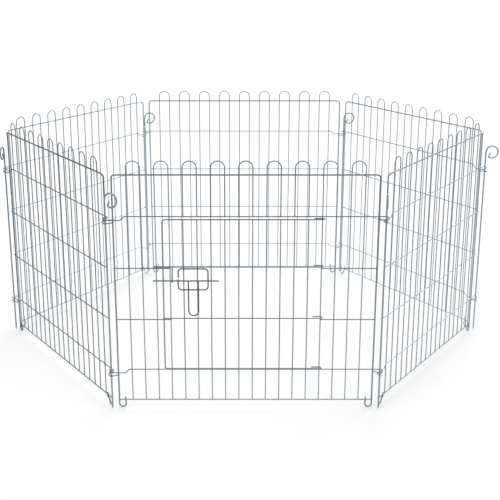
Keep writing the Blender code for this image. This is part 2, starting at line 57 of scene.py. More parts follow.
# Studio: the world's level, the suns with their places and strengths, and the floor
WORLD_LEVEL = 0.6
LIGHTS = (
    ("key", (-2.4, -2.6, 3.4), 0.7),
    ("fill", (2.8, -1.0, 3.0), 0.3),
    ("back", (1.2, 2.9, 2.1), 1.8),
)
LIGHT_SPREAD = math.radians(40.0)
FLOOR_REACH = 40.0
FLOOR_TONE = 0.62
FLOOR_MARGIN = 0.055

# Wire diameters
FRAME_WIRE = 0.0035
LEG_WIRE = 0.0025
CROSS_WIRE = 0.0025
BOTTOM_WIRE = 0.0030
PIN_WIRE = 0.0040
DOOR_WIRE = 0.0030
BAR_WIRE = 0.0025
LATCH_WIRE = 0.0030
KEEPER_WIRE = 0.0025

# The gap between wires that touch on the real run, and how deep the hoops over the doorway are pressed on
TOUCH = 0.0003
SET_DOWN = 0.0005

# Panel
PANEL_WIDTH = 0.572
FRAME_CORNER_RADIUS = 0.0078
RAIL_HEIGHT = 0.019
BOTTOM_FIELD = 0.075
LOWER_FIELD = 0.119
MIDDLE_FIELD = 0.1184
UPPER_FIELD = 0.1164
TOP_FIELD = 0.0912
HOOP_RISE = 0.015
LEG_PAIRS = 9
EDGE_FIELD = 0.031
HOOK_WIDTH = 0.0147
HOOK_TIP_RISE = 0.0085
HOOK_STRAIGHT = 0.0020

# Hinge eyes and pins
PIN_REACH = 0.0153
PIN_CLEARANCE = 0.0004
EYE_LENGTHENING = 0.00225
EYE_SLOT = 0.0030
NEIGHBOUR_CLEARANCE = 0.0005
STEP_START = 0.0245
STEP_LENGTH = 0.0082
EYE_TAIL_START = 0.0020
WIRE_END_LAP = 0.0012
EYE_TAIL_LAP = 0.0025
PIN_POINT_LENGTH = 0.006
PIN_POINT_DIAMETER = 0.0020
CURL_RADIUS = 0.01542
CURL_HEIGHT = 0.038
CURL_TURN = math.radians(290.0)
CURL_TIP_RADIUS = 0.0030
CURL_TIP_TURN = math.radians(93.0)
CURL_TAIL = 0.009
# The way that each pin's curl points, in degrees
CURL_HEADINGS = {
    "front_left": -27.0,
    "front_right": -96.0,
    "right": 0.0,
    "back_right": 14.0,
    "back_left": 25.0,
    "left": -95.0,
}

# Door and latch, with the legs beside the doorway counted from the left
JAMB_LEG = 4
HINGE_LEG = 15
DOOR_LAP = 0.015
DOOR_CORNER_RADIUS = 0.008
DOOR_LOWER_CORNER_RADIUS = 0.0055
DOOR_HEAD_DROP = 0.0058
DOOR_WIRE_LIFT = 0.0050
DOOR_WIRE_OVERHANG = 0.0020
HINGE_TAIL = 0.017
HINGE_LOOP_BULGE = 0.0038
STUB_OVERHANG = 0.0030
HEAD_OVERHANG = 0.0020
HEAD_LEAN_HEIGHT = 0.070
GUIDE_TOP_DROP = 0.0040
GUIDE_HEIGHT = 0.048
GUIDE_START = 0.018
GUIDE_WIDTH = 0.065
GUIDE_CORNER_RADIUS = 0.008
GUIDE_TIP_LENGTH = 0.0200
GUIDE_HOOK_DROP = 0.0099
GUIDE_HOOK_START = math.radians(35.0)
GUIDE_HOOK_TURN = math.radians(135.0)
BOLT_DROP = 0.0265
BOLT_START = -0.037
BOLT_LENGTH = 0.144
HANDLE_WIDTH = 0.0216
HANDLE_LENGTH = 0.080
HANDLE_TOP_LAP = 0.0015
KEEPER_LENGTH = 0.0403
KEEPER_REACH = 0.0053
KEEPER_SLOPE = 0.016
KEEPER_TIP_RISE = 0.0010

# Zinc of each material slot: its colour and roughness
ZINC = {
    "frame": ((0.230, 0.266, 0.293), 0.40),
    "infill": ((0.251, 0.288, 0.316), 0.38),
    "cross_wire": ((0.226, 0.260, 0.287), 0.38),
    "pin": ((0.230, 0.274, 0.292), 0.36),
    "door": ((0.191, 0.219, 0.241), 0.40),
    "latch": ((0.103, 0.117, 0.129), 0.42),
}
# Painted light and shade: how bright the zinc of some bodies is, as a share of the rest, all over or in one
# slot, so that panels and their level wires come out lit or shaded as light falls on them
LIGHT_AND_SHADE_TONES = {
    ("front_panel", "frame"): 0.85,
    ("front_panel", "cross_wire"): 0.72,
    ("door", "cross_wire"): 0.72,
    "left_front": 0.68,
    ("left_front", "frame"): 0.50,
    ("left_front", "cross_wire"): 0.56,
    "left_back": 1.18,
    ("left_back", "frame"): 1.80,
    ("left_back", "cross_wire"): 1.85,
    "back": 1.22,
    ("back", "cross_wire"): 1.55,
    "right_back": 1.38,
    ("right_back", "frame"): 1.50,
    ("right_back", "cross_wire"): 1.48,
    "right_front": 0.90,
    ("right_front", "frame"): 1.12,
    ("right_front", "cross_wire"): 1.50,
    "front_left_pin_body": 1.05,
    "back_left_pin_body": 1.50,
    "back_right_pin_body": 1.50,
    "right_pin_body": 1.40,
}
# Painted reflection: the zinc is drawn lighter from the top rail to the ground, as if it showed the bright
# floor more near the ground
PAINTED_LIGHT_AT_TOP = 0.86
PAINTED_LIGHT_AT_GROUND = 1.22
# The zincs made so far, by slot and share of painted light and shade
MATERIALS = {}

# All zinc: how metallic it is, and how far its textures are shifted from slot to slot
METALLIC = 0.85
TEXTURE_SHIFT = (0.31, 0.17, 0.23)
# Its mottle, with the shares of its colour in the dark and the light parts
MOTTLE = {"Scale": 46.0, "Detail": 4.0, "Roughness": 0.6}
MOTTLE_DARK = (0.80, 0.80, 0.80)
MOTTLE_LIGHT = (1.18, 1.18, 1.18)
# Its spangle, how strong that is, and how much plain mottle lies over it
SPANGLE = {"Scale": 520.0}
SPANGLE_SHARE = 0.35
PLAIN_SHARE = 0.75
# The shares of its colour in the burnt rings at the welds
BURNT = (0.62, 0.60, 0.58)
# How far its roughness goes below and above that of the slot
SHINIER = 0.08
DULLER = 0.12
# Its fine grain
GRAIN = {"Scale": 1400.0, "Detail": 2.0}
GRAIN_RELIEF = {"Strength": 0.25, "Distance": 0.00006}

# The sockets of a colour mix
MIX_SHARE = 0
MIX_FIRST = 6
MIX_SECOND = 7
MIX_RESULT = 2

# Fineness of the drawn wires, and their cut ends
SIDES = 12
HALF_TURN_STEPS = 16
CORNER_STEPS = 8
TIGHT_BEND_STEPS = 3
CURL_STEPS = 44
HOOK_STEPS = 10
RING_SPACING = 0.014
CUT_CHAMFER = 0.00025
SHARP_EDGE = math.radians(50.0)
HOOP_FLATTENING = 0.93

# Wander of hand-welded wires: its reach, its scale, and one over the part of a wire spared at each end
WANDER = 0.00022
WANDER_SCALE = 9.0
WANDER_FADE = 6
# What sets the wander of each wire: its panel's number, or the door's, and its place in the order
WANDER_SEED = 1
WANDER_SHIFT = (3.7, 1.3, 2.1)
SEEDS = {
    "front": 10,
    "left_front": 20,
    "left_back": 30,
    "back": 40,
    "right_back": 50,
    "right_front": 60,
    "door": 80,
}
SEED_ORDER = ("frame", "infill", "upper_hinge_wire", "lower_hinge_wire", "upper_wire", "lower_wire")

# Weld beads: fineness, size as shares of the wire, lobes, size at a wire's end, and reach of their heat
WELD_ROWS = 6
WELD_COLUMNS = 10
WELD_RADIUS = 0.62
WELD_DEPTH = 0.42
WELD_LOBES = 4
WELD_LOBE_SWELL = 0.16
BUTT_WELD = 1.25
WELD_REACH = 0.006

# Levels, places along the panel and depths of the wires' centrelines, as on the built run
BOTTOM_RAIL = RAIL_HEIGHT
WIRE_4 = BOTTOM_RAIL + BOTTOM_FIELD
WIRE_3 = WIRE_4 + LOWER_FIELD
WIRE_2 = WIRE_3 + MIDDLE_FIELD
WIRE_1 = WIRE_2 + UPPER_FIELD
TOP_RAIL = WIRE_1 + TOP_FIELD
SIDE = PANEL_WIDTH / 2
LEG_COUNT = 2 * LEG_PAIRS
LEG_PITCH = (PANEL_WIDTH - 2 * EDGE_FIELD) / (LEG_COUNT - 1)
PIN_ALONG = SIDE + PIN_REACH
CROSS_DEPTH = (FRAME_WIRE + CROSS_WIRE) / 2 + TOUCH
LEG_DEPTH = CROSS_DEPTH - (CROSS_WIRE + LEG_WIRE) / 2 - TOUCH
TOP_DEPTH = LEG_DEPTH + (LEG_WIRE + FRAME_WIRE) / 2 + TOUCH
HOOK_DEPTH = LEG_DEPTH + (BOTTOM_WIRE + FRAME_WIRE) / 2 + TOUCH
EYE_RADIUS = (PIN_WIRE + CROSS_WIRE) / 2 + PIN_CLEARANCE
PIN_DEPTH = CROSS_DEPTH + EYE_RADIUS
DOOR_DEPTH = CROSS_DEPTH + (CROSS_WIRE + DOOR_WIRE) / 2 + TOUCH
DOOR_CROSS_DEPTH = DOOR_DEPTH + (max(DOOR_WIRE, BAR_WIRE) + CROSS_WIRE) / 2 + TOUCH
GUIDE_DEPTH = DOOR_DEPTH + (max(DOOR_WIRE, BAR_WIRE) + LATCH_WIRE) / 2 + TOUCH
BOLT_DEPTH = GUIDE_DEPTH + LATCH_WIRE + TOUCH
HEAD_DEPTH = CROSS_DEPTH - (CROSS_WIRE + LEG_WIRE) / 2 + SET_DOWN
EYE_DROP = CROSS_WIRE + EYE_SLOT
EYE_STEP = EYE_DROP + CROSS_WIRE + NEIGHBOUR_CLEARANCE
DOOR_TOP = WIRE_1 - DOOR_HEAD_DROP
DOOR_BOTTOM = WIRE_4 + (CROSS_WIRE + DOOR_WIRE) / 2 + TOUCH
GUIDE_TOP = WIRE_2 + DOOR_WIRE_LIFT - GUIDE_TOP_DROP
GUIDE_BOTTOM = GUIDE_TOP - GUIDE_HEIGHT
BOLT_LEVEL = GUIDE_TOP - BOLT_DROP
HANDLE_DEPTH = LATCH_WIRE + TOUCH
HANDLE_REST_DEPTH = DOOR_CROSS_DEPTH + (CROSS_WIRE + LATCH_WIRE) / 2 + TOUCH
HANDLE_LEAN = math.asin((BOLT_DEPTH + HANDLE_DEPTH - HANDLE_REST_DEPTH) / HANDLE_LENGTH)
KEEPER_LEVEL = WIRE_2 + (CROSS_WIRE + KEEPER_WIRE) / 2 + TOUCH
RAIL_WELD_DEPTH = (LEG_DEPTH + TOP_DEPTH) / 2
LEG_WELD_DEPTH = (LEG_DEPTH + CROSS_DEPTH) / 2
WIRE_END = SIDE + WIRE_END_LAP
PLAIN_WIRES = {"upper_wire": WIRE_2, "lower_wire": WIRE_3}
EVERY_LEG = range(1, LEG_COUNT + 1)
DOORWAY_LEGS = range(JAMB_LEG + 1, HINGE_LEG)

# Directions in a panel's frame
RIGHTWARD = Vector((1, 0, 0))
INWARD = Vector((0, 1, 0))
UPWARD = Vector((0, 0, 1))

# The panels: the pin at each one's left and right end, seen from outside
PANELS = {
    "front": ("front_left", "front_right"),
    "left_front": ("left", "front_left"),
    "left_back": ("back_left", "left"),
    "back": ("back_right", "back_left"),
    "right_back": ("right", "back_right"),
    "right_front": ("front_right", "right"),
}


def joint_place(name):
    """Return a hinge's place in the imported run."""
    for joint in frame["record"]["behaviour"]["joints"]:
        if joint["name"] == name:
            return Vector(joint["pos_m"])
    raise KeyError(name)


def pin_places():
    """Return the places of the six pins' axes on the ground."""
    pins = {
        "front_left": joint_place("front_left_hinge"),
        "front_right": joint_place("front_right_hinge"),
        "left": joint_place("left_hinge"),
        "right": joint_place("right_hinge"),
        "back_left": joint_place("back_left_hinge"),
    }
    pins["back_right"] = Vector((pins["front_right"].x, pins["back_left"].y, 0.0))
    return pins


def panel_matrix(name):
    """Return the placing of a panel's own frame in the run."""
    pins = pin_places()
    left, right = PANELS[name]
    direction = pins[right] - pins[left]
    turn = Matrix.Rotation(math.atan2(direction.y, direction.x), 4, "Z")
    middle = (pins[left] + pins[right]) / 2
    return Matrix.Translation(middle) @ turn @ Matrix.Translation((0, PIN_DEPTH, 0))


def at(along, out, up):
    """Return the point of a panel at a place along it, a depth out from its frame and a level."""
    return Vector((along, -out, up))


def leg_along(number):
    """Return the place along the panel of a leg, counted from 1 at the left."""
    return -SIDE + EDGE_FIELD + LEG_PITCH * (number - 1)


def free_side():
    """Return the place along the panel of the door's free side."""
    return leg_along(JAMB_LEG) - DOOR_LAP


def behind_legs(diameter):
    """Return the depth of a wire that lies just behind the legs."""
    return LEG_DEPTH - (LEG_WIRE + diameter) / 2 - TOUCH


def eased(share):
    """Return the share with a soft start and a soft end."""
    return share * share * (3 - 2 * share)


def turned(centre, spoke, axis, angle, steps, rise=0.0):
    """Return points round the centre, starting at the spoke and climbing evenly along the axis."""
    points = []
    for step in range(steps + 1):
        share = step / steps
        spin = Matrix.Rotation(angle * share, 3, axis)
        points.append(centre + spin @ spoke + axis * (rise * share))
    return points


def rounded(corners, radius, steps, last_radius=None):
    """Return the route through the corners, with each bend rounded, the last to its own radius if given."""
    route = [corners[0]]
    for before, corner, after in zip(corners, corners[1:], corners[2:]):
        if last_radius and corner is corners[-2]:
            radius = last_radius
        arriving = (corner - before).normalized()
        leaving = (after - corner).normalized()
        angle = arriving.angle(leaving)
        axis = arriving.cross(leaving).normalized()
        inward = axis.cross(arriving)
        start = corner - arriving * (radius * math.tan(angle / 2))
        route += turned(start + inward * radius, -inward * radius, axis, angle, steps)
    route.append(corners[-1])
    return route


def frame_route():
    """The frame: an upside-down U whose ends are bent inward and up again as foot hooks."""
    foot_radius = HOOK_WIDTH / 2
    foot_centre = FRAME_WIRE / 2 + foot_radius
    half = [
        at(-SIDE + HOOK_WIDTH, HOOK_DEPTH, BOTTOM_RAIL + HOOK_TIP_RISE),
        at(-SIDE + HOOK_WIDTH, HOOK_DEPTH, BOTTOM_RAIL - BOTTOM_WIRE / 2),
        at(-SIDE + HOOK_WIDTH, 0, foot_centre + HOOK_STRAIGHT),
    ]
    half = rounded(half + [at(-SIDE + HOOK_WIDTH, 0, foot_centre)], FRAME_WIRE, TIGHT_BEND_STEPS)[:-1]
    centre = at(-SIDE + foot_radius, 0, foot_centre)
    half += turned(centre, RIGHTWARD * foot_radius, INWARD, math.pi, HALF_TURN_STEPS)
    corner_centre = at(-SIDE + FRAME_CORNER_RADIUS, 0, TOP_RAIL - FRAME_CORNER_RADIUS)
    corner = turned(corner_centre, RIGHTWARD * -FRAME_CORNER_RADIUS, INWARD, math.pi / 2, CORNER_STEPS)
    for step, point in enumerate(corner):
        half.append(point + at(0, TOP_DEPTH * eased(step / CORNER_STEPS), 0))
    mirror = Matrix.Scale(-1, 3, RIGHTWARD)
    return half + [mirror @ point for point in reversed(half)]


def hairpin_route(number, foot, foot_depth=LEG_DEPTH, lean_top=None):
    """A pair of legs joined by a hoop, from the foot level up over the hoop and down again."""
    left = leg_along(number)
    right = leg_along(number + 1)
    radius = (right - left) / 2
    spring = TOP_RAIL + HOOP_RISE
    centre = at((left + right) / 2, LEG_DEPTH, spring)
    hoop = turned(centre, RIGHTWARD * -radius, INWARD, math.pi, HALF_TURN_STEPS)
    for point in hoop:
        point.z = spring + (point.z - spring) * HOOP_FLATTENING
    up = [at(left, foot_depth, foot)]
    down = [at(right, foot_depth, foot)]
    if lean_top is not None:
        up.append(at(left, LEG_DEPTH, lean_top))
        down.insert(0, at(right, LEG_DEPTH, lean_top))
    return up + hoop + down


def corner_eye(side, level):
    """A hinge eye: round behind and beyond the pin, back in front of it and onto the side wire."""
    turn = at(side * (PIN_ALONG + EYE_LENGTHENING), PIN_DEPTH, level)
    spoke = at(0, -EYE_RADIUS, 0)
    route = turned(turn, spoke, UPWARD, -side * math.pi, HALF_TURN_STEPS, -EYE_DROP)
    low = level - EYE_DROP
    outer = PIN_DEPTH + EYE_RADIUS
    tail = rounded([
        route[-1],
        at(side * (PIN_ALONG - EYE_TAIL_START), outer, low),
        at(side * (SIDE + EYE_TAIL_LAP), CROSS_DEPTH, low),
        at(side * (SIDE - EYE_TAIL_LAP), CROSS_DEPTH, low),
    ], CROSS_WIRE, TIGHT_BEND_STEPS)
    return route + tail[1:]


def hinge_wire_route(level):
    """A cross wire with an eye at each end: the left one steps down to pass its neighbour's."""
    left = corner_eye(-1, level - EYE_STEP)
    left.reverse()
    step_high = at(-SIDE + STEP_START, CROSS_DEPTH, level)
    step_low = at(-SIDE + STEP_START - STEP_LENGTH, CROSS_DEPTH, level - EYE_STEP)
    middle = at(0, CROSS_DEPTH, level)
    step = rounded([left[-1], step_low, step_high, middle], EYE_STEP / 2, CORNER_STEPS)
    return left + step[1:-1] + corner_eye(1, level)


def pin_route():
    """A corner pin: a pointed rod, bent at the top into a curl whose tail turns in to its middle."""
    curl_level = WIRE_1 + CURL_HEIGHT
    centre = Vector((CURL_RADIUS, 0, curl_level))
    curl = turned(centre, RIGHTWARD * -CURL_RADIUS, INWARD, CURL_TURN, CURL_STEPS)
    spoke = (curl[-1] - centre).normalized() * CURL_TIP_RADIUS
    tip_centre = curl[-1] - spoke
    tip = turned(tip_centre, spoke, INWARD, CURL_TIP_TURN, HOOK_STEPS)
    tip.append(tip[-1] + INWARD.cross(tip[-1] - tip_centre).normalized() * CURL_TAIL)
    return [Vector((0, 0, 0)), Vector((0, 0, PIN_POINT_LENGTH))] + curl + tip[1:]


def hinge_loop(level, depth, diameter, bulge):
    """A door wire's open loop round the hinge leg, from the door's depth to its tail inside."""
    inner = behind_legs(diameter)
    half = (depth - inner) / 2
    axis_along = leg_along(HINGE_LEG)
    points = []
    for step in range(HALF_TURN_STEPS + 1):
        angle = math.pi * step / HALF_TURN_STEPS
        points.append(at(axis_along + bulge * math.sin(angle), inner + half * (1 + math.cos(angle)), level))
    points.append(at(axis_along - HINGE_TAIL, inner, level))
    return points


def door_frame_route():
    """The door's frame: one wire from the upper hinge loop round the free side to the lower one."""
    bulge = (DOOR_DEPTH - behind_legs(DOOR_WIRE)) / 2
    upper = hinge_loop(DOOR_TOP, DOOR_DEPTH, DOOR_WIRE, bulge)
    upper.reverse()
    corners = [
        upper[-1],
        at(free_side(), DOOR_DEPTH, DOOR_TOP),
        at(free_side(), DOOR_DEPTH, DOOR_BOTTOM),
        at(leg_along(HINGE_LEG), DOOR_DEPTH, DOOR_BOTTOM),
    ]
    side = rounded(corners, DOOR_CORNER_RADIUS, CORNER_STEPS, DOOR_LOWER_CORNER_RADIUS)
    return upper + side[1:-1] + hinge_loop(DOOR_BOTTOM, DOOR_DEPTH, DOOR_WIRE, bulge)


def door_cross_route(level):
    """A cross wire of the door, over its bars, with its own hinge loop."""
    start = at(free_side() - DOOR_WIRE_OVERHANG, DOOR_CROSS_DEPTH, level)
    return [start] + hinge_loop(level, DOOR_CROSS_DEPTH, CROSS_WIRE, HINGE_LOOP_BULGE)


def guide_route():
    """The bolt's guide: a loop of wire whose right leg backs the bolt and whose end hooks over it."""
    left = leg_along(JAMB_LEG) + GUIDE_START
    right = left + GUIDE_WIDTH
    loop = rounded([
        at(left, GUIDE_DEPTH, GUIDE_TOP - GUIDE_TIP_LENGTH),
        at(left, GUIDE_DEPTH, GUIDE_TOP),
        at(right, GUIDE_DEPTH, GUIDE_TOP),
        at(right, GUIDE_DEPTH, GUIDE_BOTTOM),
        at(left, GUIDE_DEPTH, GUIDE_BOTTOM),
        at(left, GUIDE_DEPTH, BOLT_LEVEL - GUIDE_HOOK_DROP),
    ], GUIDE_CORNER_RADIUS, CORNER_STEPS)
    spoke = Matrix.Rotation(GUIDE_HOOK_START, 3, RIGHTWARD) @ at(0, LATCH_WIRE + TOUCH, 0)
    hook = turned(at(left, BOLT_DEPTH, BOLT_LEVEL), spoke, RIGHTWARD, -GUIDE_HOOK_TURN, HOOK_STEPS)
    return loop + hook


def keeper_route():
    """The bolt's keeper: along the jamb's legs, out over the bolt and under it in a small hook."""
    along = leg_along(JAMB_LEG) + KEEPER_REACH
    round_bolt = (LATCH_WIRE + KEEPER_WIRE) / 2 + TOUCH
    front = BOLT_DEPTH + round_bolt
    arm = rounded([
        at(along - KEEPER_LENGTH, CROSS_DEPTH, KEEPER_LEVEL),
        at(along, CROSS_DEPTH, KEEPER_LEVEL),
        at(along, front, KEEPER_LEVEL - KEEPER_SLOPE),
        at(along, front, BOLT_LEVEL),
    ], KEEPER_WIRE, CORNER_STEPS)
    bolt_axis = at(along, BOLT_DEPTH, BOLT_LEVEL)
    hook = turned(bolt_axis, at(0, round_bolt, 0), RIGHTWARD, math.pi, HALF_TURN_STEPS)
    tip = hook[-1] + at(0, 0, KEEPER_TIP_RISE)
    return arm[:-1] + hook + [tip]


def handle_route():
    """The bolt's handle: a hanging U, drawn straight below the bolt's axis and in front of it."""
    radius = HANDLE_WIDTH / 2
    centre = at(radius, HANDLE_DEPTH, radius - HANDLE_LENGTH)
    bottom = turned(centre, RIGHTWARD * -radius, -INWARD, math.pi, HALF_TURN_STEPS)
    left_end = at(0, HANDLE_DEPTH, HANDLE_TOP_LAP)
    right_end = at(HANDLE_WIDTH, HANDLE_DEPTH, HANDLE_TOP_LAP)
    return [left_end] + bottom + [right_end]


def spaced(route):
    """Return the route with points added along its long straight stretches."""
    points = [route[0]]
    for before, after in zip(route, route[1:]):
        count = max(1, round((after - before).length / RING_SPACING))
        for step in range(1, count + 1):
            points.append(before.lerp(after, step / count))
    return points


def thinned(route):
    """Return the route without points that lie on top of the one before."""
    points = [route[0]]
    for point in route[1:]:
        if (point - points[-1]).length > TOUCH / 3:
            points.append(point)
    return points


class Shape:
    """The growing mesh of one piece: round wires and the welds that hold them."""

    def __init__(self, seed=0):
        self.verts = []
        self.faces = []
        self.welds = []
        self.shift = Vector([seed * step for step in WANDER_SHIFT])

    def ring(self, centre, side, other, radius):
        """Add a ring of points round the centre and return its first index."""
        first = len(self.verts)
        for step in range(SIDES):
            angle = 2 * math.pi * step / SIDES
            self.verts.append(centre + (side * math.cos(angle) + other * math.sin(angle)) * radius)
        return first

    def wandered(self, points, radius, wander):
        """Return the points with a hand-bent wander, which spares the ends and stays off the ground."""
        moved = []
        for index, point in enumerate(points):
            inner = min(index, len(points) - 1 - index) / max(1, len(points) / WANDER_FADE)
            drift = noise.noise_vector(point * WANDER_SCALE + self.shift) * (wander * min(1.0, inner))
            place = point + drift
            if wander:
                place.z = max(place.z, radius)
            moved.append(place)
        return moved

    def wire(self, route, diameter, shares=None, wander=WANDER):
        """Add a round wire along the route, chamfered at its cut ends.

        The shares give the radius at each point of the route, as shares of the full one. Without them
        the wire is even, and points are added to the route where it is straight.
        """
        radius = diameter / 2
        points = route
        if shares is None:
            points = spaced(thinned(route))
            shares = [1.0] * len(points)
        points = self.wandered(points, radius, wander)
        first_way = (points[1] - points[0]).normalized()
        last_way = (points[-1] - points[-2]).normalized()
        first_cut = [points[0], points[0] + first_way * CUT_CHAMFER]
        last_cut = [points[-1] - last_way * CUT_CHAMFER, points[-1]]
        centres = first_cut + points[1:-1] + last_cut
        radii = [share * radius for share in shares]
        radii = [radii[0] - CUT_CHAMFER] + radii + [radii[-1] - CUT_CHAMFER]
        side = first_way.orthogonal().normalized()
        rings = []
        for index, centre in enumerate(centres):
            before = centres[max(0, index - 1)]
            after = centres[min(len(centres) - 1, index + 1)]
            way = (after - before).normalized()
            side = (side - way * side.dot(way)).normalized()
            rings.append(self.ring(centre, side, way.cross(side), radii[index]))
        for low, high in zip(rings, rings[1:]):
            for step in range(SIDES):
                after = (step + 1) % SIDES
                self.faces.append((low + step, low + after, high + after, high + step))
        self.faces.append(tuple(rings[0] + step for step in reversed(range(SIDES))))
        self.faces.append(tuple(rings[-1] + step for step in range(SIDES)))

    def weld(self, point, diameter):
        """Add a weld: a bead of metal between two crossing wires, flattened across the panel."""
        radius = diameter * WELD_RADIUS
        depth = diameter * WELD_DEPTH
        side = INWARD.orthogonal().normalized()
        other = INWARD.cross(side)
        rings = []
        for row in range(1, WELD_ROWS):
            angle = math.pi * row / WELD_ROWS
            rings.append(len(self.verts))
            for column in range(WELD_COLUMNS):
                turn = 2 * math.pi * column / WELD_COLUMNS
                swell = radius * math.sin(angle) * (1 + WELD_LOBE_SWELL * math.cos(WELD_LOBES * turn))
                spoke = side * math.cos(turn) + other * math.sin(turn)
                self.verts.append(point + spoke * swell + INWARD * (depth * math.cos(angle)))
        for low, high in zip(rings, rings[1:]):
            for column in range(WELD_COLUMNS):
                after = (column + 1) % WELD_COLUMNS
                self.faces.append((low + column, high + column, high + after, low + after))
        self.faces.append(tuple(rings[0] + column for column in range(WELD_COLUMNS)))
        self.faces.append(tuple(rings[-1] + column for column in reversed(range(WELD_COLUMNS))))
        self.welds.append(point)

    def piece(self, name, placing, material):
        """Return the shape as an object set in place, with the heat of its welds as an attribute."""
        mesh = bpy.data.meshes.new(name)
        mesh.from_pydata([placing @ vert for vert in self.verts], [], self.faces)
        mesh.update()
        mesh.shade_smooth()
        mesh.set_sharp_from_angle(angle=SHARP_EDGE)
        heat = mesh.attributes.new("heat", "FLOAT", "POINT")
        if self.welds:
            tree = kdtree.KDTree(len(self.welds))
            for index, point in enumerate(self.welds):
                tree.insert(point, index)
            tree.balance()
            for index, vert in enumerate(self.verts):
                away = tree.find(vert)[2]
                heat.data[index].value = max(0.0, 1.0 - away / WELD_REACH)
        mesh.materials.append(material)
        piece = bpy.data.objects.new(name, mesh)
        bpy.context.scene.collection.objects.link(piece)
        return piece


def new_node(tree, kind, **values):
    """Add a node to the tree, with its settings and its sockets' values given by name."""
    made = tree.nodes.new(kind)
    for key, value in values.items():
        if hasattr(made, key):
            setattr(made, key, value)
        else:
            made.inputs[key.replace("_", " ")].default_value = value
    return made


def mixed(tree, first, second, share, blend_type="MIX"):
    """Mix two colours by a share, each one a value or a socket, and return the socket of the mix."""
    made = new_node(tree, "ShaderNodeMix", data_type="RGBA", blend_type=blend_type)
    for place, source in ((MIX_SHARE, share), (MIX_FIRST, first), (MIX_SECOND, second)):
        if isinstance(source, bpy.types.NodeSocket):
            tree.links.new(source, made.inputs[place])
        else:
            made.inputs[place].default_value = source
    return made.outputs[MIX_RESULT]


def toned(colour, shares):
    """Return the colour with its channels scaled by their shares, and opaque."""
    return (*[channel * share for channel, share in zip(colour, shares)], 1.0)


def zinc(slot, painted_light_share):
    """Make a galvanised wire: mottled grey zinc, fine spangle, and a dull burnt ring at the welds, with
    painted light and shade from its body's share and from its height.
    """
    base, roughness = ZINC[slot]
    # Painted light and shade: the colour scaled by the body's share
    colour = [channel * painted_light_share for channel in base]
    number = 1 + list(ZINC).index(slot)
    material = bpy.data.materials.new(slot + "_zinc")
    material.use_nodes = True
    tree = material.node_tree
    shader = tree.nodes["Principled BSDF"]
    shader.inputs["Metallic"].default_value = METALLIC

    place = new_node(tree, "ShaderNodeTexCoord")
    shift = new_node(tree, "ShaderNodeVectorMath", operation="ADD")
    shift.inputs[1].default_value = [number * part for part in TEXTURE_SHIFT]
    tree.links.new(place.outputs["Object"], shift.inputs[0])
    mottle = new_node(tree, "ShaderNodeTexNoise", **MOTTLE)
    spangle = new_node(tree, "ShaderNodeTexVoronoi", **SPANGLE)
    grain = new_node(tree, "ShaderNodeTexNoise", **GRAIN)
    for texture in (mottle, spangle, grain):
        tree.links.new(shift.outputs[0], texture.inputs["Vector"])

    tones = mixed(tree, toned(colour, MOTTLE_DARK), toned(colour, MOTTLE_LIGHT), mottle.outputs["Fac"])
    cells = mixed(tree, tones, spangle.outputs["Color"], SPANGLE_SHARE, "SOFT_LIGHT")
    grey = mixed(tree, cells, tones, PLAIN_SHARE)
    heat = new_node(tree, "ShaderNodeAttribute", attribute_name="heat")
    burnt = mixed(tree, grey, toned(colour, BURNT), heat.outputs["Fac"])
    # Painted reflection of the floor: the colour is scaled from lighter at the ground to darker at the top
    # rail
    height = new_node(tree, "ShaderNodeSeparateXYZ")
    tree.links.new(place.outputs["Object"], height.inputs[0])
    painted_floor_light = new_node(tree, "ShaderNodeMapRange", To_Min=PAINTED_LIGHT_AT_GROUND, To_Max=PAINTED_LIGHT_AT_TOP)
    painted_floor_light.inputs["From Max"].default_value = TOP_RAIL
    tree.links.new(height.outputs["Z"], painted_floor_light.inputs["Value"])
    floor_lit_colour = new_node(tree, "ShaderNodeVectorMath", operation="SCALE")
    tree.links.new(burnt, floor_lit_colour.inputs[0])
    tree.links.new(painted_floor_light.outputs[0], floor_lit_colour.inputs["Scale"])
    tree.links.new(floor_lit_colour.outputs[0], shader.inputs["Base Color"])

    gloss = new_node(tree, "ShaderNodeMapRange", To_Min=roughness - SHINIER, To_Max=roughness + DULLER)
    tree.links.new(mottle.outputs["Fac"], gloss.inputs["Value"])
    tree.links.new(gloss.outputs[0], shader.inputs["Roughness"])
    bump = new_node(tree, "ShaderNodeBump", **GRAIN_RELIEF)
    tree.links.new(grain.outputs["Fac"], bump.inputs["Height"])
    tree.links.new(bump.outputs[0], shader.inputs["Normal"])
    return material


def zinc_of(slot, body):
    """Return the slot's zinc at the body's share of painted light and shade, made once."""
    # The share of painted light and shade for this body and slot, or for the whole body
    key = (slot, LIGHT_AND_SHADE_TONES.get((body, slot), LIGHT_AND_SHADE_TONES.get(body, 1.0)))
    if key not in MATERIALS:
        MATERIALS[key] = zinc(*key)
    return MATERIALS[key]


def place_piece(shape, node_name, body, material_slot, placing):
    """Make a shape's piece, which stands for a CAD node and rides on its body."""
    piece = shape.piece(node_name + "_fine", placing, zinc_of(material_slot, body))
    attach(piece, body)
    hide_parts(node_name)


def place_panel_piece(shape, panel, wire, material_slot):
    """Make the piece of one of a panel's own wires."""
    body = "front_panel" if panel == "front" else panel
    place_piece(shape, panel + "_" + wire, body, material_slot, panel_matrix(panel))


def panel_shape(panel, wire):
    """Start the shape of one of a panel's own wires, with a wander of its own."""
    return Shape(SEEDS[panel] + SEED_ORDER.index(wire))


def weld_to_legs(shape, numbers, level):
    """Weld a cross wire of this shape to the legs with those numbers."""
    for number in numbers:
        shape.weld(at(leg_along(number), LEG_WELD_DEPTH, level), CROSS_WIRE)


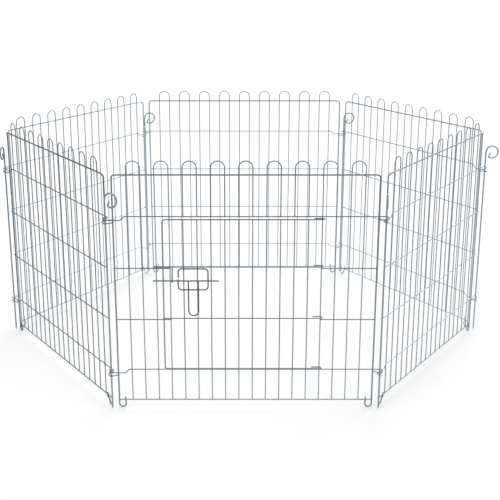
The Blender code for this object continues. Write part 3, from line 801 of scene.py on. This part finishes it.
def add_frame(panel):
    """Draw a panel's frame, with the welds of its hooks to the bottom rail."""
    shape = panel_shape(panel, "frame")
    shape.wire(frame_route(), FRAME_WIRE)
    for side in (-1, 1):
        shape.weld(at(side * (SIDE - HOOK_WIDTH), (LEG_DEPTH + HOOK_DEPTH) / 2, BOTTOM_RAIL), BOTTOM_WIRE)
        shape.weld(at(side * (SIDE - FRAME_WIRE / 2), LEG_DEPTH, BOTTOM_RAIL), BOTTOM_WIRE)
    place_panel_piece(shape, panel, "frame", "frame")


def add_bottom_rail(shape):
    """Draw the rail along the feet."""
    reach = SIDE - FRAME_WIRE / 2 - TOUCH
    shape.wire([at(-reach, LEG_DEPTH, BOTTOM_RAIL), at(reach, LEG_DEPTH, BOTTOM_RAIL)], BOTTOM_WIRE)


def add_hairpin(shape, number, wander=WANDER):
    """Draw a pair of legs with their hoop, welded to the top and bottom rails."""
    shape.wire(hairpin_route(number, BOTTOM_RAIL), LEG_WIRE, wander=wander)
    for leg in (number, number + 1):
        shape.weld(at(leg_along(leg), RAIL_WELD_DEPTH, TOP_RAIL), LEG_WIRE)
        shape.weld(at(leg_along(leg), LEG_DEPTH, BOTTOM_RAIL), LEG_WIRE * BUTT_WELD)


def add_infill(panel):
    """Draw a plain panel's legs and bottom rail."""
    shape = panel_shape(panel, "infill")
    add_bottom_rail(shape)
    for number in range(1, LEG_COUNT, 2):
        add_hairpin(shape, number)
    place_panel_piece(shape, panel, "infill", "infill")


def add_door_panel_infill():
    """Draw the front panel's legs, stubs and bottom rail, with the hinge leg and its pair straight."""
    shape = panel_shape("front", "infill")
    add_bottom_rail(shape)
    for number in range(1, LEG_COUNT, 2):
        if number < JAMB_LEG or number >= HINGE_LEG:
            add_hairpin(shape, number, 0.0 if number == HINGE_LEG else WANDER)
    for number in DOORWAY_LEGS:
        foot = at(leg_along(number), LEG_DEPTH, BOTTOM_RAIL)
        head = at(leg_along(number), LEG_DEPTH, WIRE_4 + STUB_OVERHANG)
        shape.wire([foot, head], LEG_WIRE)
        shape.weld(foot, LEG_WIRE * BUTT_WELD)
    place_panel_piece(shape, "front", "infill", "infill")


def add_hinge_wires(panel, head=False):
    """Draw a panel's two wires with hinge eyes, and over a doorway its hoops."""
    upper = panel_shape(panel, "upper_hinge_wire")
    upper.wire(hinge_wire_route(WIRE_1), CROSS_WIRE)
    weld_to_legs(upper, EVERY_LEG, WIRE_1)
    if head:
        for number in DOORWAY_LEGS[::2]:
            route = hairpin_route(number, WIRE_1 - HEAD_OVERHANG, HEAD_DEPTH, WIRE_1 + HEAD_LEAN_HEIGHT)
            upper.wire(route, LEG_WIRE)
            for leg in (number, number + 1):
                upper.weld(at(leg_along(leg), RAIL_WELD_DEPTH, TOP_RAIL), LEG_WIRE)
    lower = panel_shape(panel, "lower_hinge_wire")
    lower.wire(hinge_wire_route(WIRE_4), CROSS_WIRE)
    weld_to_legs(lower, EVERY_LEG, WIRE_4)
    for shape, level in ((upper, WIRE_1), (lower, WIRE_4)):
        for side, end_level in ((-1, level - EYE_STEP), (1, level)):
            shape.weld(at(side * SIDE, CROSS_DEPTH / 2, end_level), CROSS_WIRE)
            shape.weld(at(side * SIDE, CROSS_DEPTH / 2, end_level - EYE_DROP), CROSS_WIRE)
    place_panel_piece(upper, panel, "upper_hinge_wire", "cross_wire")
    place_panel_piece(lower, panel, "lower_hinge_wire", "cross_wire")


def add_plain_wire(panel, wire, legs, start=-WIRE_END, end=WIRE_END, which=""):
    """Draw a straight cross wire, or the one of its stubs that is named."""
    level = PLAIN_WIRES[wire]
    shape = panel_shape(panel, wire)
    shape.wire([at(start, CROSS_DEPTH, level), at(end, CROSS_DEPTH, level)], CROSS_WIRE)
    weld_to_legs(shape, legs, level)
    for side in (-1, 1):
        if start <= side * SIDE <= end:
            shape.weld(at(side * SIDE, CROSS_DEPTH / 2, level), CROSS_WIRE)
    place_panel_piece(shape, panel, wire + which, "cross_wire")


def add_plain_panel(panel):
    """Draw the six pieces of a panel without a door."""
    add_frame(panel)
    add_infill(panel)
    add_hinge_wires(panel)
    for wire in PLAIN_WIRES:
        add_plain_wire(panel, wire, EVERY_LEG)


def add_front_panel():
    """Draw the door panel's own pieces."""
    add_frame("front")
    add_door_panel_infill()
    add_hinge_wires("front", head=True)
    jamb_end = leg_along(JAMB_LEG) + WIRE_END_LAP
    hinge_start = leg_along(HINGE_LEG) - WIRE_END_LAP
    for wire in PLAIN_WIRES:
        add_plain_wire("front", wire, range(1, JAMB_LEG + 1), end=jamb_end, which="_left")
        add_plain_wire("front", wire, range(HINGE_LEG, LEG_COUNT + 1), start=hinge_start, which="_right")
    keeper = Shape()
    keeper.wire(keeper_route(), KEEPER_WIRE, wander=0.0)
    for number in (JAMB_LEG - 1, JAMB_LEG):
        keeper.weld(at(leg_along(number), LEG_WELD_DEPTH, KEEPER_LEVEL), KEEPER_WIRE)
    place_piece(keeper, "bolt_keeper", "front_panel", "latch", panel_matrix("front"))


def add_door():
    """Draw the door with the guide of its bolt."""
    placing = panel_matrix("front")
    grille = Shape(SEEDS["door"])
    grille.wire(door_frame_route(), DOOR_WIRE, wander=0.0)
    for number in DOORWAY_LEGS:
        ends = [at(leg_along(number), DOOR_DEPTH, DOOR_BOTTOM), at(leg_along(number), DOOR_DEPTH, DOOR_TOP)]
        grille.wire(ends, BAR_WIRE)
        for end in ends:
            grille.weld(end, BAR_WIRE * BUTT_WELD)
    place_piece(grille, "door_grille", "door", "door", placing)
    depth = (DOOR_DEPTH + DOOR_CROSS_DEPTH) / 2
    for wire, panel_level in PLAIN_WIRES.items():
        level = panel_level + DOOR_WIRE_LIFT
        shape = Shape()
        shape.wire(door_cross_route(level), CROSS_WIRE, wander=0.0)
        for number in DOORWAY_LEGS:
            shape.weld(at(leg_along(number), depth, level), CROSS_WIRE)
        shape.weld(at(free_side(), depth, level), CROSS_WIRE)
        place_piece(shape, "door_" + wire, "door", "cross_wire", placing)
    guide = Shape()
    guide.wire(guide_route(), LATCH_WIRE, wander=0.0)
    for number in (JAMB_LEG + 1, JAMB_LEG + 2):
        for level in (GUIDE_TOP, GUIDE_BOTTOM):
            guide.weld(at(leg_along(number), (DOOR_DEPTH + GUIDE_DEPTH) / 2, level), LATCH_WIRE)
    place_piece(guide, "bolt_guide", "door", "latch", placing)


def add_bolt():
    """Draw the sliding bolt and its hanging handle."""
    rod = Shape()
    start = leg_along(JAMB_LEG) + BOLT_START
    ends = [at(start, BOLT_DEPTH, BOLT_LEVEL), at(start + BOLT_LENGTH, BOLT_DEPTH, BOLT_LEVEL)]
    rod.wire(ends, LATCH_WIRE, wander=0.0)
    place_piece(rod, "bolt_rod", "bolt", "latch", panel_matrix("front"))
    handle = Shape()
    handle.wire(handle_route(), LATCH_WIRE, wander=0.0)
    for along in (0, HANDLE_WIDTH):
        handle.weld(at(along, HANDLE_DEPTH / 2, 0), LATCH_WIRE)
    lean = Matrix.Translation(joint_place("handle_swing")) @ Matrix.Rotation(HANDLE_LEAN, 4, "X")
    place_piece(handle, "bolt_handle", "handle", "latch", lean)


def add_pins():
    """Draw the six corner pins."""
    places = pin_places()
    point, *rod = pin_route()
    route = [point] + spaced(thinned(rod))
    shares = [PIN_POINT_DIAMETER / PIN_WIRE] + [1.0] * (len(route) - 1)
    for corner, heading in CURL_HEADINGS.items():
        shape = Shape()
        shape.wire(route, PIN_WIRE, shares=shares, wander=0.0)
        turn = Matrix.Rotation(math.radians(heading), 4, "Z")
        placing = Matrix.Translation(places[corner]) @ turn
        place_piece(shape, corner + "_pin", corner + "_pin_body", "pin", placing)


def seen_directly(tree):
    """Return a socket that is 1 for rays from the camera, a mirror or glass, and 0 for the light itself."""
    seen = new_node(tree, "ShaderNodeLightPath")
    mirrored = new_node(tree, "ShaderNodeMath", operation="MAXIMUM")
    either = new_node(tree, "ShaderNodeMath", operation="MAXIMUM")
    tree.links.new(seen.outputs["Is Glossy Ray"], mirrored.inputs[0])
    tree.links.new(seen.outputs["Is Transmission Ray"], mirrored.inputs[1])
    tree.links.new(seen.outputs["Is Camera Ray"], either.inputs[0])
    tree.links.new(mirrored.outputs[0], either.inputs[1])
    return either.outputs[0]


def add_floor():
    """Lay a plain pale floor that shows white, less the shadows that fall on it."""
    mesh = bpy.data.meshes.new("floor")
    half = FLOOR_REACH
    corners = [(-half, -half, 0), (half, -half, 0), (half, half, 0), (-half, half, 0)]
    mesh.from_pydata(corners, [], [(0, 1, 2, 3)])
    floor = bpy.data.objects.new("floor", mesh)
    floor.location.z = -TOUCH
    bpy.context.scene.collection.objects.link(floor)
    material = bpy.data.materials.new("pale_floor")
    material.use_nodes = True
    tree = material.node_tree
    tree.nodes.clear()
    output = new_node(tree, "ShaderNodeOutputMaterial")
    total = new_node(tree, "ShaderNodeAddShader")
    matt = new_node(tree, "ShaderNodeBsdfDiffuse", Color=(FLOOR_TONE, FLOOR_TONE, FLOOR_TONE, 1))
    lit = WORLD_LEVEL
    for _, place, strength in LIGHTS:
        lit += strength * Vector(place).normalized().z / math.pi
    glow = new_node(tree, "ShaderNodeEmission")
    share = new_node(tree, "ShaderNodeMath", operation="MULTIPLY")
    share.inputs[1].default_value = 1.0 + FLOOR_MARGIN - FLOOR_TONE * lit
    tree.links.new(seen_directly(tree), share.inputs[0])
    tree.links.new(share.outputs[0], glow.inputs["Strength"])
    tree.links.new(matt.outputs[0], total.inputs[0])
    tree.links.new(glow.outputs[0], total.inputs[1])
    tree.links.new(total.outputs[0], output.inputs["Surface"])
    mesh.materials.append(material)


def add_light():
    """Light the run softly and evenly, with a white world and three wide suns."""
    world = bpy.data.worlds.new("studio")
    bpy.context.scene.world = world
    world.use_nodes = True
    tree = world.node_tree
    background = tree.nodes["Background"]
    background.inputs["Color"].default_value = (1, 1, 1, 1)
    level = new_node(tree, "ShaderNodeMapRange", To_Min=WORLD_LEVEL, To_Max=1.0)
    tree.links.new(seen_directly(tree), level.inputs["Value"])
    tree.links.new(level.outputs[0], background.inputs["Strength"])
    for name, place, strength in LIGHTS:
        lamp = bpy.data.lights.new(name, "SUN")
        lamp.angle = LIGHT_SPREAD
        lamp.energy = strength
        holder = bpy.data.objects.new(name, lamp)
        holder.location = place
        holder.rotation_euler = (-Vector(place)).to_track_quat("-Z", "Y").to_euler()
        bpy.context.scene.collection.objects.link(holder)


def add_camera():
    """Set the camera where the photograph was taken."""
    camera = bpy.data.cameras.new("photo_camera")
    camera.sensor_width = SENSOR_WIDTH
    camera.lens = FOCAL_PIXELS / PHOTO_WIDTH * SENSOR_WIDTH
    camera.shift_x = 0.5 - OPTICAL_CENTRE[0] / PHOTO_WIDTH
    camera.shift_y = OPTICAL_CENTRE[1] / PHOTO_WIDTH - 0.5
    holder = bpy.data.objects.new("photo_camera", camera)
    front_middle = panel_matrix("front").translation
    holder.location = front_middle + Vector(CAMERA_FROM_FRONT)
    holder.rotation_euler = (math.pi / 2 - CAMERA_PITCH, 0, 0)
    bpy.context.scene.collection.objects.link(holder)
    bpy.context.scene.camera = holder


noise.seed_set(WANDER_SEED)
bpy.context.scene.view_settings.view_transform = "Standard"
add_camera()
add_light()
add_floor()
add_front_panel()
for plain_panel in list(PANELS)[1:]:
    add_plain_panel(plain_panel)
add_door()
add_bolt()
add_pins()
